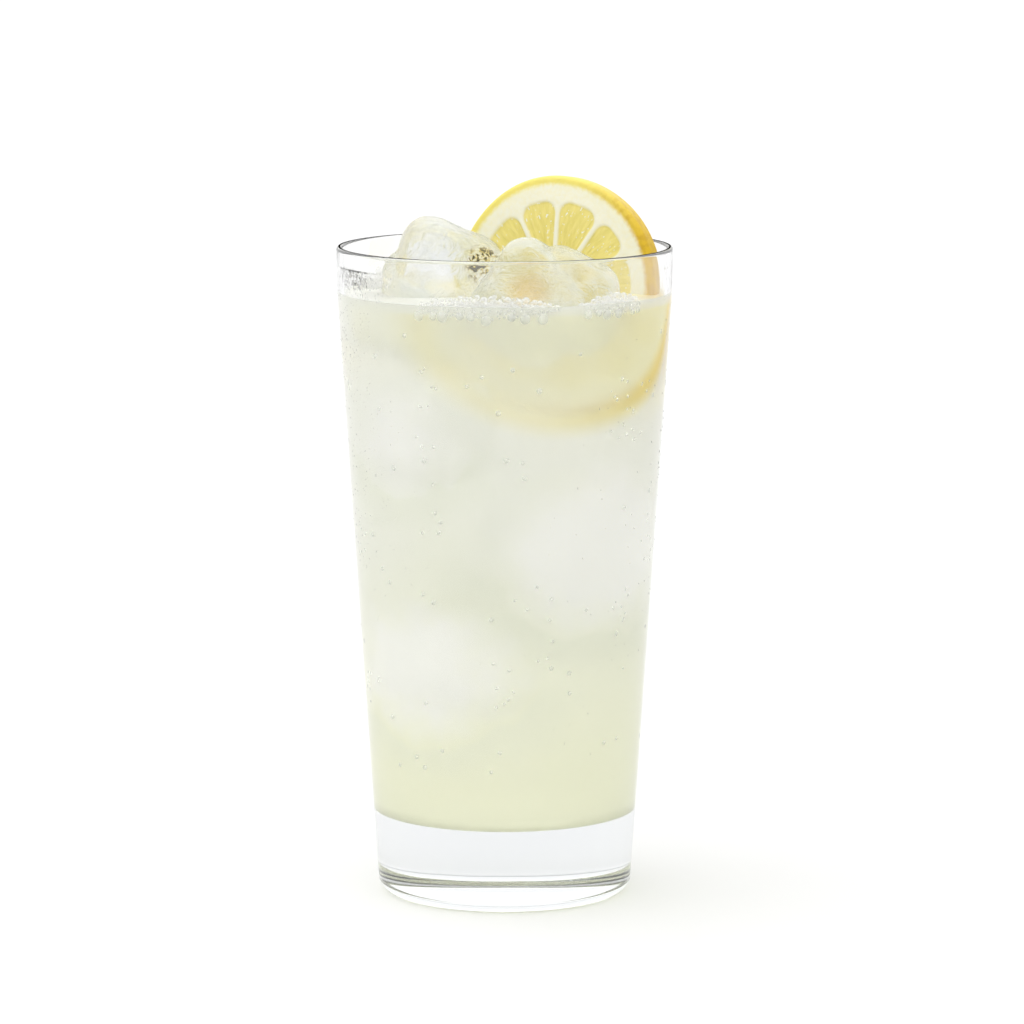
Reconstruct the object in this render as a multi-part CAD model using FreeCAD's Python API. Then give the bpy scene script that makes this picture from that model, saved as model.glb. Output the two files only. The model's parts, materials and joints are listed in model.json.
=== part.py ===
"""A tall glass of lemon highball over ice, with a lemon wheel.

The pieces, all in one still body:
  glass           a tapered highball tumbler with a thick solid foot, a hollow under it and a rounded lip
  drink           the cloudy drink, filling the glass to its level and cut round what breaks its surface
  lemon_wheel     a slice across a lemon that stands against the wall, its flesh sunk between membranes
  ice_cube_left   a half melted cube, tipped, that stands highest out of the drink
  ice_cube_front  a second one, tipped on an edge, in front of the lemon

Frame: millimetres, +Z up, the origin on the table at the middle of the foot, the front at -Y.
Everything in the glass takes its place from the cavity of the glass, so it follows when a size changes.
"""

import FreeCAD
import Part
import math
import os

from FreeCAD import Rotation, Vector

# Glass: outside
GLASS_HEIGHT = 148.0
RIM_RADIUS = 38.0
BAND_HEIGHT = 11.0      # the nearly upright band under the lip
BAND_FLARE = 0.25       # how much that band opens towards the lip
FOOT_RADIUS = 28.7      # where the tapered side would meet the table
HEEL_RADIUS = 3.5
LIP_WALL = 1.4
LIP_FULLNESS = 0.49     # rounding of each edge of the lip, as a share of its wall
FOOT_WALL = 2.7

# Glass: foot
FOOT_THICKNESS = 19.0   # table to the floor of the cavity
FLOOR_DISH = 0.6        # how much the floor dips in the middle
CAVITY_CORNER = 3.0
STANDING_RING = 2.6     # width of the flat ring that it stands on
PUNT_DEPTH = 2.0        # hollow under the foot

# Drink
LEVEL_BELOW_RIM = 11.2
MENISCUS_RISE = 1.1
MENISCUS_REACH = 1.5

# Lemon wheel
LEMON_RADIUS = 26.5
LEMON_THICKNESS = 4.5
PEEL_THICKNESS = 5.7    # yellow skin and white pith together
PEEL_ROUNDING = 0.8
SEGMENT_COUNT = 11
SEGMENT_UNEVEN = 2.5    # degrees that a membrane may stand off its even place
SEGMENT_PHASE = 2.6     # radians from one membrane to the next in the wave that moves them
MEMBRANE = 0.7
SEGMENT_DEPTH = 0.35    # how far the flesh lies below the cut face
SEGMENT_CORNER = 3.3
SEGMENT_TIP = 0.6
LEMON_TURN = 31.0       # its place behind the middle, round towards the right
LEMON_SLIDE = 2.7       # along its own width, to the right
LEMON_LEAN = 7.5        # the top leans out
LEMON_ABOVE_RIM = 14.5  # how far the wheel stands over the lip
WALL_CLEARANCE = 0.3

# Ice: every cube is a tall lump with a lower one grown together with it
ICE_CORNER = 7.0        # rounding of the upright edges
ICE_END_ROUND = 6.0     # rounding of top and underside
ICE_WAIST = 0.5         # how far the middle of a side is melted in
ICE_TAPER = 1.2         # each side leans in by this much from the mould's mouth to its floor
ICE_CLEARANCE = 0.5     # ice melts back this far from glass, lemon and other ice
#   bearing of the cube's middle from the front, round towards the right, and its distance from the wall;
#   then each lump: width, depth, height, shift along X and Y, top over the rim, turn, tip right, tip back
ICE_CUBES = {
    "ice_cube_left": (-106.5, 20.7, (
        (25.0, 24.0, 29.0, 0.0, 0.0, 6.1, 8.0, 22.0, 3.0),
        (20.0, 18.0, 20.0, -4.4, 1.4, -1.4, 14.0, 6.0, 6.0),
    )),
    "ice_cube_front": (21.8, 21.1, (
        (25.0, 20.0, 24.0, 0.0, 0.0, 3.1, 0.0, 38.0, 4.0),
        (22.0, 19.0, 21.0, 8.0, 1.4, 1.3, 0.0, 28.0, 6.0),
    )),
}

# Shape work
PARALLEL = 0.99         # cosine over which a direction counts as upright
TOLERANCE = 0.001

WALL_LEAN = (RIM_RADIUS - BAND_FLARE - FOOT_RADIUS) / (GLASS_HEIGHT - BAND_HEIGHT)
DRINK_LEVEL = GLASS_HEIGHT - LEVEL_BELOW_RIM


def outer_radius(z):
    """Outside radius of the glass at height z, without the roundings of heel and lip."""
    band_foot = GLASS_HEIGHT - BAND_HEIGHT
    if z <= band_foot:
        return FOOT_RADIUS + WALL_LEAN * z
    return RIM_RADIUS - BAND_FLARE * (GLASS_HEIGHT - z) / BAND_HEIGHT


def cavity_radius(z):
    """Inside radius of the glass at height z: the wall grows evenly from the lip to the foot."""
    share = (GLASS_HEIGHT - z) / (GLASS_HEIGHT - FOOT_THICKNESS)
    return outer_radius(z) - (LIP_WALL + (FOOT_WALL - LIP_WALL) * share)


def rounded_path(corners):
    """Edges through corners given as (r, z, rounding), with each rounded corner a tangent arc."""
    points = [Vector(r, 0, z) for r, z, _ in corners]
    edges = []
    start = points[0]
    for before, corner, after, (_, _, rounding) in zip(points, points[1:], points[2:], corners[1:]):
        if rounding == 0:
            edges.append(Part.LineSegment(start, corner).toShape())
            start = corner
            continue
        back = (before - corner).normalize()
        on = (after - corner).normalize()
        half = back.getAngle(on) / 2
        middle = (back + on).normalize()
        reach = rounding / math.tan(half)
        deep = rounding / math.sin(half) - rounding
        arc_start = corner + back * reach
        arc_end = corner + on * reach
        edges.append(Part.LineSegment(start, arc_start).toShape())
        edges.append(Part.Arc(arc_start, corner + middle * deep, arc_end).toShape())
        start = arc_end
    edges.append(Part.LineSegment(start, points[-1]).toShape())
    return edges


def arc_edge(start, middle, end):
    return Part.Arc(*(Vector(r, 0, z) for r, z in (start, middle, end))).toShape()


def line_edge(start, end):
    return Part.LineSegment(*(Vector(r, 0, z) for r, z in (start, end))).toShape()


def turned(edges):
    """The solid that a closed half profile sweeps round the Z axis."""
    face = Part.Face(Part.Wire(Part.sortEdges(edges)[0]))
    return face.revolve(Vector(0, 0, 0), Vector(0, 0, 1), 360)


def shallow_arc(radius, edge_z, middle_z):
    """Edge from the axis at middle_z out to radius at edge_z, level at the axis."""
    rise = middle_z - edge_z
    curve = (radius ** 2 + rise ** 2) / (2 * abs(rise))
    half_r = radius / 2
    drop = curve - math.sqrt(curve ** 2 - half_r ** 2)
    half_z = middle_z - math.copysign(drop, rise)
    return arc_edge((0, middle_z), (half_r, half_z), (radius, edge_z))


def cavity_edges(top_z):
    """The inside of the glass from the axis, over the dished floor, up the wall to top_z."""
    band_foot = GLASS_HEIGHT - BAND_HEIGHT
    floor_radius = cavity_radius(FOOT_THICKNESS)
    floor_edge = floor_radius - 2 * CAVITY_CORNER
    corners = [
        (floor_edge, FOOT_THICKNESS, 0),
        (floor_radius, FOOT_THICKNESS, CAVITY_CORNER),
    ]
    if top_z > band_foot:
        corners.append((cavity_radius(band_foot), band_foot, 0))
    corners.append((cavity_radius(top_z), top_z, 0))
    floor = shallow_arc(floor_edge, FOOT_THICKNESS, FOOT_THICKNESS - FLOOR_DISH)
    return [floor] + rounded_path(corners)


def make_glass():
    """The tumbler, one profile: hollow of the foot, outside, lip, inside."""
    ring_outer = FOOT_RADIUS - HEEL_RADIUS
    ring_inner = ring_outer - STANDING_RING
    lip_round = LIP_WALL * LIP_FULLNESS
    band_foot = GLASS_HEIGHT - BAND_HEIGHT
    lip_foot = GLASS_HEIGHT - 2 * LIP_WALL
    outside = rounded_path([
        (ring_inner, 0, 0),
        (FOOT_RADIUS, 0, HEEL_RADIUS),
        (outer_radius(band_foot), band_foot, 0),
        (RIM_RADIUS, GLASS_HEIGHT, lip_round),
        (cavity_radius(GLASS_HEIGHT), GLASS_HEIGHT, lip_round),
        (cavity_radius(lip_foot), lip_foot, 0),
    ])
    punt = shallow_arc(ring_inner, 0, PUNT_DEPTH)
    inside = cavity_edges(lip_foot)
    axis = line_edge((0, PUNT_DEPTH), (0, FOOT_THICKNESS - FLOOR_DISH))
    return turned([punt] + outside + inside + [axis])


def make_full_drink():
    """The drink before anything is cut out of it, climbing a little up the wall at its edge."""
    wall_top = DRINK_LEVEL + MENISCUS_RISE
    wall_radius = cavity_radius(wall_top)
    flat_radius = wall_radius - MENISCUS_REACH
    curve = (MENISCUS_REACH ** 2 + MENISCUS_RISE ** 2) / (2 * MENISCUS_RISE)
    half_reach = MENISCUS_REACH / 2
    half_rise = curve - math.sqrt(curve ** 2 - half_reach ** 2)
    meniscus = arc_edge(
        (wall_radius, wall_top),
        (flat_radius + half_reach, DRINK_LEVEL + half_rise),
        (flat_radius, DRINK_LEVEL),
    )
    surface = line_edge((flat_radius, DRINK_LEVEL), (0, DRINK_LEVEL))
    axis = line_edge((0, DRINK_LEVEL), (0, FOOT_THICKNESS - FLOOR_DISH))
    return turned(cavity_edges(wall_top) + [meniscus, surface, axis])


def membrane_angle(k):
    """Where membrane k stands in degrees, the first one upright: even steps, each moved a little."""
    return 90 - k * 360 / SEGMENT_COUNT - SEGMENT_UNEVEN * math.sin(SEGMENT_PHASE * k)


def segment_pocket(k):
    """The shallow pocket over the flesh between membranes k and k + 1, standing on z = 0."""
    first = math.radians(membrane_angle(k + 1))
    last = math.radians(membrane_angle(k))
    if k + 1 == SEGMENT_COUNT:
        first = math.radians(membrane_angle(0) - 360)
    middle = (first + last) / 2
    tip_distance = MEMBRANE / 2 / math.sin((last - first) / 2)
    far = 2 * LEMON_RADIUS
    tip = Vector(math.cos(middle), math.sin(middle), 0) * tip_distance
    sides = [tip + Vector(math.cos(a), math.sin(a), 0) * far for a in (first, last)]
    wedge = Part.Face(Part.makePolygon([tip, sides[0], sides[1], tip]))
    prism = wedge.extrude(Vector(0, 0, SEGMENT_DEPTH))
    pulp_radius = LEMON_RADIUS - PEEL_THICKNESS
    pocket = prism.common(Part.makeCylinder(pulp_radius, SEGMENT_DEPTH))
    for rounding, nearest, farthest in (
        (SEGMENT_TIP, 0, pulp_radius / 2),
        (SEGMENT_CORNER, pulp_radius / 2, pulp_radius * 2),
    ):
        corners = [
            e for e in pocket.Edges
            if abs(e.tangentAt(e.FirstParameter).z) > PARALLEL
            and nearest < math.hypot(e.CenterOfMass.x, e.CenterOfMass.y) < farthest
        ]
        pocket = pocket.makeFillet(rounding, corners)
    return pocket


def lemon_placement():
    """The wheel stands across the glass, leans out, and its right edge comes up to the wall."""
    lean = math.radians(LEMON_LEAN)
    middle_z = GLASS_HEIGHT + LEMON_ABOVE_RIM - LEMON_RADIUS * math.cos(lean)
    reach = cavity_radius(middle_z) - WALL_CLEARANCE
    distance = math.sqrt(reach ** 2 - (LEMON_RADIUS + LEMON_SLIDE) ** 2) - LEMON_THICKNESS / 2
    turn = Rotation(Vector(0, 0, 1), -LEMON_TURN)
    upright = Rotation(Vector(1, 0, 0), 90 - LEMON_LEAN)
    return FreeCAD.Placement(turn.multVec(Vector(LEMON_SLIDE, distance, middle_z)), turn * upright)


def make_lemon_wheel():
    """A slice with rounded peel and its segments sunk into both cut faces, set on its edge in the glass."""
    wheel = Part.makeCylinder(LEMON_RADIUS, LEMON_THICKNESS)
    wheel = wheel.makeFillet(PEEL_ROUNDING, [e for e in wheel.Edges if e.Closed])
    for k in range(SEGMENT_COUNT):
        pocket = segment_pocket(k)
        for lift in (0, LEMON_THICKNESS - SEGMENT_DEPTH):
            sunk = pocket.copy()
            sunk.translate(Vector(0, 0, lift))
            wheel = wheel.cut(sunk)
    wheel.translate(Vector(0, 0, -LEMON_THICKNESS / 2))
    wheel.Placement = lemon_placement() * wheel.Placement
    return wheel


def rounded_square(width, depth, corner, z):
    """A wire round a rounded rectangle, level at height z."""
    plate = Part.makeBox(width, depth, 1, Vector(-width / 2, -depth / 2, 0))
    upright = [e for e in plate.Edges if abs(e.tangentAt(e.FirstParameter).z) > PARALLEL]
    plate = plate.makeFillet(corner, upright)
    bottom = min(plate.Faces, key=lambda f: f.CenterOfMass.z)
    wire = bottom.OuterWire.copy()
    wire.translate(Vector(0, 0, z))
    return wire


def make_lump(middle, spread, width, depth, height, shift_x, shift_y, over_rim, turn, tip_right, tip_back):
    """A melting block with waisted sides and rounded ends, tipped, and larger all round by the spread."""
    sections = []
    for share, inset in ((0, ICE_TAPER), (0.5, ICE_TAPER / 2 + ICE_WAIST), (1, 0)):
        z = (share - 0.5) * (height + 2 * spread)
        shrink = 2 * (inset - spread)
        sections.append(rounded_square(width - shrink, depth - shrink, ICE_CORNER, z))
    block = Part.makeLoft(sections, True, False)
    ends = [e for f in block.Faces if abs(f.normalAt(0, 0).z) > PARALLEL for e in f.OuterWire.Edges]
    block = block.makeFillet(ICE_END_ROUND, ends)
    tip = Rotation(Vector(0, 1, 0), tip_right) * Rotation(Vector(1, 0, 0), tip_back)
    spin = Rotation(Vector(0, 0, 1), turn)
    block.Placement = FreeCAD.Placement(Vector(0, 0, 0), tip * spin)
    lift = GLASS_HEIGHT + over_rim + spread - block.optimalBoundingBox().ZMax
    block.translate(middle + Vector(shift_x, shift_y, lift))
    return block


def make_ice(name, spread=0):
    """One cube: its lumps grown together, larger all round by the spread."""
    bearing, off_wall, lumps = ICE_CUBES[name]
    out = Vector(0, off_wall - cavity_radius(DRINK_LEVEL), 0)
    middle = Rotation(Vector(0, 0, 1), bearing).multVec(out)
    tall, low = (make_lump(middle, spread, *sizes) for sizes in lumps)
    return tall.fuse(low).removeSplitter()


def make_ice_room():
    """The space that ice may fill: inside the glass, in front of the lemon and clear of both."""
    open_top = 2 * GLASS_HEIGHT
    edges = cavity_edges(GLASS_HEIGHT - 2 * LIP_WALL)
    wall = edges[-1].Vertexes[-1].Point
    edges += [
        line_edge((wall.x, wall.z), (wall.x, open_top)),
        line_edge((wall.x, open_top), (0, open_top)),
        line_edge((0, open_top), (0, FOOT_THICKNESS - FLOOR_DISH)),
    ]
    room = turned(edges).makeOffsetShape(-ICE_CLEARANCE, TOLERANCE)
    far = 2 * GLASS_HEIGHT
    behind_lemon = Part.makeBox(2 * far, 2 * far, far, Vector(-far, -far, -far))
    behind_lemon.translate(Vector(0, 0, LEMON_THICKNESS / 2 + ICE_CLEARANCE))
    behind_lemon.Placement = lemon_placement() * behind_lemon.Placement
    return room.cut(behind_lemon)


def write(name, shape):
    solids = shape.Solids
    assert len(solids) == 1 and shape.isValid(), name
    solids[0].exportStep(os.path.join("parts", name + ".step"))
    box = shape.optimalBoundingBox()
    print(f"{name}: {shape.Volume / 1000:.2f} ml, z {box.ZMin:.1f} to {box.ZMax:.1f}")


def main():
    os.makedirs("parts", exist_ok=True)
    standing_out = {"lemon_wheel": make_lemon_wheel()}
    room = make_ice_room()
    for name in ICE_CUBES:
        standing_out[name] = make_ice(name).common(room)
        room = room.cut(make_ice(name, ICE_CLEARANCE))
    drink = make_full_drink()
    for piece in standing_out.values():
        drink = drink.cut(piece)
    write("glass", make_glass())
    write("drink", drink)
    for name, piece in standing_out.items():
        write(name, piece)


main()
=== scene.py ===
# %% [markdown]
# # A tall glass of lemon highball
# A tapered highball glass holds a cloudy lemon drink, two half melted ice cubes that break its surface,
# a lemon wheel that stands against the wall, and more ice, foam and bubbles in the drink itself.
# The solid parts already exist as a frame. Here each one gets its final surface, and everything too
# small or too soft for the frame is added.

import bmesh
import bpy
import json
import math
import random
from mathutils import Matrix, Vector, noise
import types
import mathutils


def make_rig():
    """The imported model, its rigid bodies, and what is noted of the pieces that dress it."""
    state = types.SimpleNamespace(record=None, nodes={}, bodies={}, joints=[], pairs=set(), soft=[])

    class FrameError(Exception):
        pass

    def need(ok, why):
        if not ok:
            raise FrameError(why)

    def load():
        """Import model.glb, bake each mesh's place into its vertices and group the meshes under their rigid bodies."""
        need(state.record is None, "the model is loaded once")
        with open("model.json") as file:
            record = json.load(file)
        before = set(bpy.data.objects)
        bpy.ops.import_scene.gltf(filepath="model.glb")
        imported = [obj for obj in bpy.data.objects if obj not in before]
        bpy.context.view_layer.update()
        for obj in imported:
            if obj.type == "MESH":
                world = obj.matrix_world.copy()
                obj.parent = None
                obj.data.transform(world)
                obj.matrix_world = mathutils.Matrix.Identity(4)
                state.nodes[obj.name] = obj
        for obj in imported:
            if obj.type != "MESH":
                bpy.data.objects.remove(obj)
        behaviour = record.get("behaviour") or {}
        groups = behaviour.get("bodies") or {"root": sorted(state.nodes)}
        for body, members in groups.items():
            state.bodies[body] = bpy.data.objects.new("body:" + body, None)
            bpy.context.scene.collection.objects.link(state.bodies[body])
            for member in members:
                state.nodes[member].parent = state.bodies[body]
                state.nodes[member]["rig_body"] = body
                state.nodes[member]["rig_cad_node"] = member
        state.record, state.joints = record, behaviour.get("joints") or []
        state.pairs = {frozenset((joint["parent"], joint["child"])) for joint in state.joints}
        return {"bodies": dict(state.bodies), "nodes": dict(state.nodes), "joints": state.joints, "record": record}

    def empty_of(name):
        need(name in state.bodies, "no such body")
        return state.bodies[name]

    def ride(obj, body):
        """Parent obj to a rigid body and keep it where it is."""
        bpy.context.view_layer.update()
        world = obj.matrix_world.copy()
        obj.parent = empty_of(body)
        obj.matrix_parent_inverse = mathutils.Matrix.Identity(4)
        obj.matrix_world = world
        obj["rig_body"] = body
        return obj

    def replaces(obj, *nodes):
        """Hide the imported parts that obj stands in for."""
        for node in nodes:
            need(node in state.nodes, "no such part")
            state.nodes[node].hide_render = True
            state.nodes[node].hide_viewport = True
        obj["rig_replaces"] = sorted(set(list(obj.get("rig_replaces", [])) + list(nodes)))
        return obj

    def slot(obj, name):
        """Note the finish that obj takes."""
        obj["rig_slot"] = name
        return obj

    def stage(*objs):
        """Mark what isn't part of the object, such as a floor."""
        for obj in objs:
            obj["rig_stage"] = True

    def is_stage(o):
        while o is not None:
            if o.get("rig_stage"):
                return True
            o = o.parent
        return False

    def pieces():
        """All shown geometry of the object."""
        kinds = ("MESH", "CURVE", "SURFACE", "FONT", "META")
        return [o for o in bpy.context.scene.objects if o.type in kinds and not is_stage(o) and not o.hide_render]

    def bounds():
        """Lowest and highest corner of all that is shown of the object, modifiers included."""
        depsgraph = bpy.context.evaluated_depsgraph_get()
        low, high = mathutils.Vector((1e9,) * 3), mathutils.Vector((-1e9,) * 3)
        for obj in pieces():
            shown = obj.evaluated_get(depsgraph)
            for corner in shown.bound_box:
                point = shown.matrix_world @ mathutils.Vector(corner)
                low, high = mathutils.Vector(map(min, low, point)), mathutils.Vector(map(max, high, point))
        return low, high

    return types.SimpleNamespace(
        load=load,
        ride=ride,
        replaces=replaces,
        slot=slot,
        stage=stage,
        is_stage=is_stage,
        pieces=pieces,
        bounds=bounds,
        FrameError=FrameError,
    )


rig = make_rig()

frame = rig.load()
cad_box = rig.bounds()
nodes = frame["nodes"]
print("frame nodes:", sorted(nodes))

# %% [markdown]
# ## Sizes
# All sizes are in millimetres, and `MM` turns them into the metres of the scene. They are the driving sizes
# of the glass, so that what is new sits exactly where the solid parts are.

# %% Sizes of the glass and of what stands in it
MM = 0.001

HEIGHT = 148.0
RIM = 38.0
BAND = 11.0
BAND_FLARE = 0.25
FOOT = 28.7
HEEL = 3.5
LIP_WALL = 1.4
FOOT_WALL = 2.7
FLOOR = 19.0
FLOOR_DISH = 0.6
FLOOR_CORNER = 3.0
RING = 2.6
PUNT = 2.0
LEVEL = HEIGHT - 11.2
MENISCUS = 1.1
MENISCUS_WIDTH = 1.5
LIP_ROUNDING = LIP_WALL * 0.49
BAND_BLEND = 6.0

LEAN = (RIM - BAND_FLARE - FOOT) / (HEIGHT - BAND)


def outside(z):
    """Outer radius of the glass at height z."""
    if z <= HEIGHT - BAND:
        return FOOT + LEAN * z
    return RIM - BAND_FLARE * (HEIGHT - z) / BAND


def inside(z):
    """Inner radius of the glass at height z."""
    share = (HEIGHT - z) / (HEIGHT - FLOOR)
    return outside(z) - (LIP_WALL + (FOOT_WALL - LIP_WALL) * share)


print("wall at the lip and at the level:", LIP_WALL, round(outside(LEVEL) - inside(LEVEL), 2))

# %% [markdown]
# ## Turning a shape on a lathe
# Glass and drink are bodies of revolution. One half of the outline is drawn as a few corners, the corners
# are rounded with a vertex bevel, and spin carries the outline once round the axis. That is quicker and
# smoother than starting from a cylinder, because every rounding is part of the outline.


# %% A lathe for outlines
def new_piece(name, bm, smooth=True):
    """Makes an object at the origin from a bmesh."""
    mesh = bpy.data.meshes.new(name)
    bm.to_mesh(mesh)
    bm.free()
    if smooth:
        mesh.shade_smooth()
    piece = bpy.data.objects.new(name, mesh)
    bpy.context.scene.collection.objects.link(piece)
    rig.ride(piece, "root")
    return piece


HOLD = 0.25
SAME_POINT = 1e-6


def face_outwards(bm):
    """Merges doubles and turns all faces of a closed shape outwards."""
    bmesh.ops.remove_doubles(bm, verts=bm.verts, dist=SAME_POINT)
    bmesh.ops.recalc_face_normals(bm, faces=bm.faces)
    if bm.calc_volume(signed=True) < 0:
        bmesh.ops.reverse_faces(bm, faces=bm.faces)


def with_holds(corners):
    """Adds a point just before and after each rounding, which keeps the shading of the flats flat."""
    held = [corners[0]]
    for before, corner, after in zip(corners, corners[1:], corners[2:]):
        here = Vector(corner[:2])
        back = Vector(before[:2]) - here
        on = Vector(after[:2]) - here
        if corner[2]:
            reach = corner[2] / math.tan(back.angle(on) / 2) + HOLD
            ends = [(*(here + way.normalized() * reach), 0, 0) for way in (back, on) if way.length > reach]
            held += [ends[0], corner, ends[-1]] if len(ends) == 2 else [corner]
        else:
            held.append(corner)
    return held + [corners[-1]]


def lathe(corners, steps=192):
    """A closed shape from corners (radius, height, rounding, segments), listed from axis to axis."""
    corners = with_holds(corners)
    bm = bmesh.new()
    verts = [bm.verts.new((c[0] * MM, 0, c[1] * MM)) for c in corners]
    for pair in zip(verts, verts[1:]):
        bm.edges.new(pair)
    places = [v.co.copy() for v in verts]
    for k, (_, _, rounding, segments) in enumerate(corners):
        if not rounding:
            continue
        back = (places[k - 1] - places[k]).normalized()
        on = (places[k + 1] - places[k]).normalized()
        reach = rounding * MM / math.tan(back.angle(on) / 2)
        bmesh.ops.bevel(
            bm, geom=[verts[k]], offset=reach, offset_type="OFFSET", affect="VERTICES",
            segments=segments, profile=0.5, material=-1,
        )
    bmesh.ops.spin(
        bm, geom=bm.verts[:] + bm.edges[:], cent=(0, 0, 0), axis=(0, 0, 1),
        angle=math.tau, steps=steps, use_merge=True,
    )
    face_outwards(bm)
    return bm


# %% [markdown]
# ## The glass
# A pressed highball tumbler: a thick clear foot with a shallow hollow under it, so that it stands on a narrow
# ring, a side that opens evenly, an almost upright band at the top and a lip rounded in the flame.

# %% Turn the glass
ring_inner = FOOT - HEEL - RING
ring_rounding = 0.5
floor_edge = inside(FLOOR) - 2 * FLOOR_CORNER


def hollow(radius, depth, base, count=5):
    """Corners of a shallow bowl: from the axis out to the radius, on a parabola."""
    return [
        (radius * k / count, base + depth * (1 - (k / count) ** 2), 0, 0)
        for k in range(count)
    ]


outer_corners = hollow(ring_inner, PUNT, 0) + [
    (ring_inner, 0, ring_rounding, 3),
    (FOOT, 0, HEEL, 12),
    (outside(HEIGHT - BAND), HEIGHT - BAND, BAND_BLEND, 4),
    (RIM, HEIGHT, LIP_ROUNDING, 6),
    (inside(HEIGHT), HEIGHT, LIP_ROUNDING, 6),
    (inside(HEIGHT - BAND), HEIGHT - BAND, BAND_BLEND, 4),
]
floor_corners = [
    (inside(FLOOR), FLOOR, FLOOR_CORNER, 10),
    (floor_edge, FLOOR, 0, 0),
] + hollow(floor_edge, -FLOOR_DISH, FLOOR)[::-1]
glass = new_piece("tumbler", lathe(outer_corners + floor_corners))
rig.replaces(glass, "glass")
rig.slot(glass, "glass")
print("tumbler faces:", len(glass.data.polygons))

# %% [markdown]
# ## The drink
# The drink is turned from the same outline, but reaches a fraction of a millimetre into the wall. If the two
# only touched, a thin gap would stay between them and shine like a mirror. At its edge the surface climbs
# the wall a little. Where ice breaks the surface the drink is cut away with a Boolean, again a little short
# of the ice, so that the ice reaches into the drink.

# %% Turn the drink and cut it round the ice
INTO_WALL = 0.2
INTO_ICE = 0.12


def drink_corners():
    """The inside of the glass, a hair wider, then over the edge that climbs the wall to the middle."""
    top = LEVEL + MENISCUS
    return hollow(floor_edge, -FLOOR_DISH, FLOOR - INTO_WALL) + [
        (floor_edge, FLOOR - INTO_WALL, 0, 0),
        (inside(FLOOR) + INTO_WALL, FLOOR - INTO_WALL, FLOOR_CORNER, 10),
        (inside(HEIGHT - BAND) + INTO_WALL, HEIGHT - BAND, 0, 0),
        (inside(top) + INTO_WALL, top, 0, 0),
        # from the crest of the edge down to the flat surface
        (inside(top) - 0.1, top - 0.15, 0, 0),
        (inside(LEVEL) - 0.45, LEVEL + 0.35, 0, 0),
        (inside(LEVEL) - MENISCUS_WIDTH, LEVEL, 0, 0),
        (20.0, LEVEL, 0, 0),
        (0, LEVEL, 0, 0),
    ]


def merged_copy(name):
    """The mesh of a frame node with its loose triangles joined, as a bmesh."""
    bm = bmesh.new()
    bm.from_mesh(nodes[name].data)
    bmesh.ops.remove_doubles(bm, verts=bm.verts, dist=SAME_POINT)
    return bm


def bake(piece):
    """Applies the piece's modifiers to its mesh."""
    depsgraph = bpy.context.evaluated_depsgraph_get()
    mesh = bpy.data.meshes.new_from_object(piece.evaluated_get(depsgraph))
    piece.modifiers.clear()
    old = piece.data
    piece.data = mesh
    bpy.data.meshes.remove(old)
    print(piece.name, "faces:", len(mesh.polygons))


drink = new_piece("lemon_drink", lathe(drink_corners()))
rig.replaces(drink, "drink")
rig.slot(drink, "drink")

# %% [markdown]
# ## Ice that breaks the surface
# A melting cube has no straight line left. Modelling each dent by hand would be slow, so the solid is
# remeshed into small even faces and smoothed, and then every point is pushed along its normal by two sizes of
# noise: broad hollows and fine ripples.


# %% Melt the two cubes
BROAD_HOLLOWS = 9.0
FINE_RIPPLES = 2.6
ICE_NET = 0.45


def ripple(point, size, seed):
    """Smooth noise between -1 and 1 with bumps about this many millimetres across."""
    return noise.noise(point / (size * MM) + Vector((seed, 0.37 * seed, -seed)))


def melt(mesh, broad, fine, seed):
    """Pushes the points of a mesh in and out, as melting does; broad and fine are how far, in mm."""
    bm = bmesh.new()
    bm.from_mesh(mesh)
    bm.normal_update()
    for vert in bm.verts:
        push = broad * ripple(vert.co, BROAD_HOLLOWS, seed) + fine * ripple(vert.co, FINE_RIPPLES, seed + 5)
        vert.co += vert.normal * push * MM
    bm.to_mesh(mesh)
    bm.free()
    mesh.shade_smooth()


def surface_ice(name, seed):
    """The final surface of one cube of the frame."""
    piece = new_piece("melting_" + name, merged_copy(name))
    remesh = piece.modifiers.new("even faces", "REMESH")
    remesh.mode = "VOXEL"
    remesh.voxel_size = ICE_NET * MM
    soften = piece.modifiers.new("soften", "SMOOTH")
    soften.factor = 0.6
    soften.iterations = 10
    bake(piece)
    melt(piece.data, 0.4, 0.18, seed)
    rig.replaces(piece, name)
    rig.slot(piece, "ice")
    return piece


ice_left = surface_ice("ice_cube_left", 3.0)
ice_front = surface_ice("ice_cube_front", 11.0)

# %% Cut the drink round them
for name in ("ice_cube_left", "ice_cube_front"):
    cutter = new_piece("cutter", merged_copy(name))
    shrink = cutter.modifiers.new("shrink", "DISPLACE")
    shrink.mid_level = 0
    shrink.strength = -INTO_ICE * MM
    cut = drink.modifiers.new("cut", "BOOLEAN")
    cut.object = cutter
    cut.solver = "EXACT"
    bake(drink)
    bpy.data.objects.remove(cutter)
drink.data.shade_smooth()
drink.data.set_sharp_from_angle(angle=math.radians(35))

# %% [markdown]
# ## The lemon wheel
# A slice across a lemon: yellow skin, white pith and eleven segments between thin membranes. A picture on a
# flat disc would look flat, so the slice is spun from its outline as an even net of small faces. Each point
# then asks where it lies: on a membrane, in the flesh or in the peel. The flesh sinks a little and is covered
# with juice sacs that run towards the middle. The same answers are stored on the points as attributes, so the
# colours follow the shape exactly.

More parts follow.
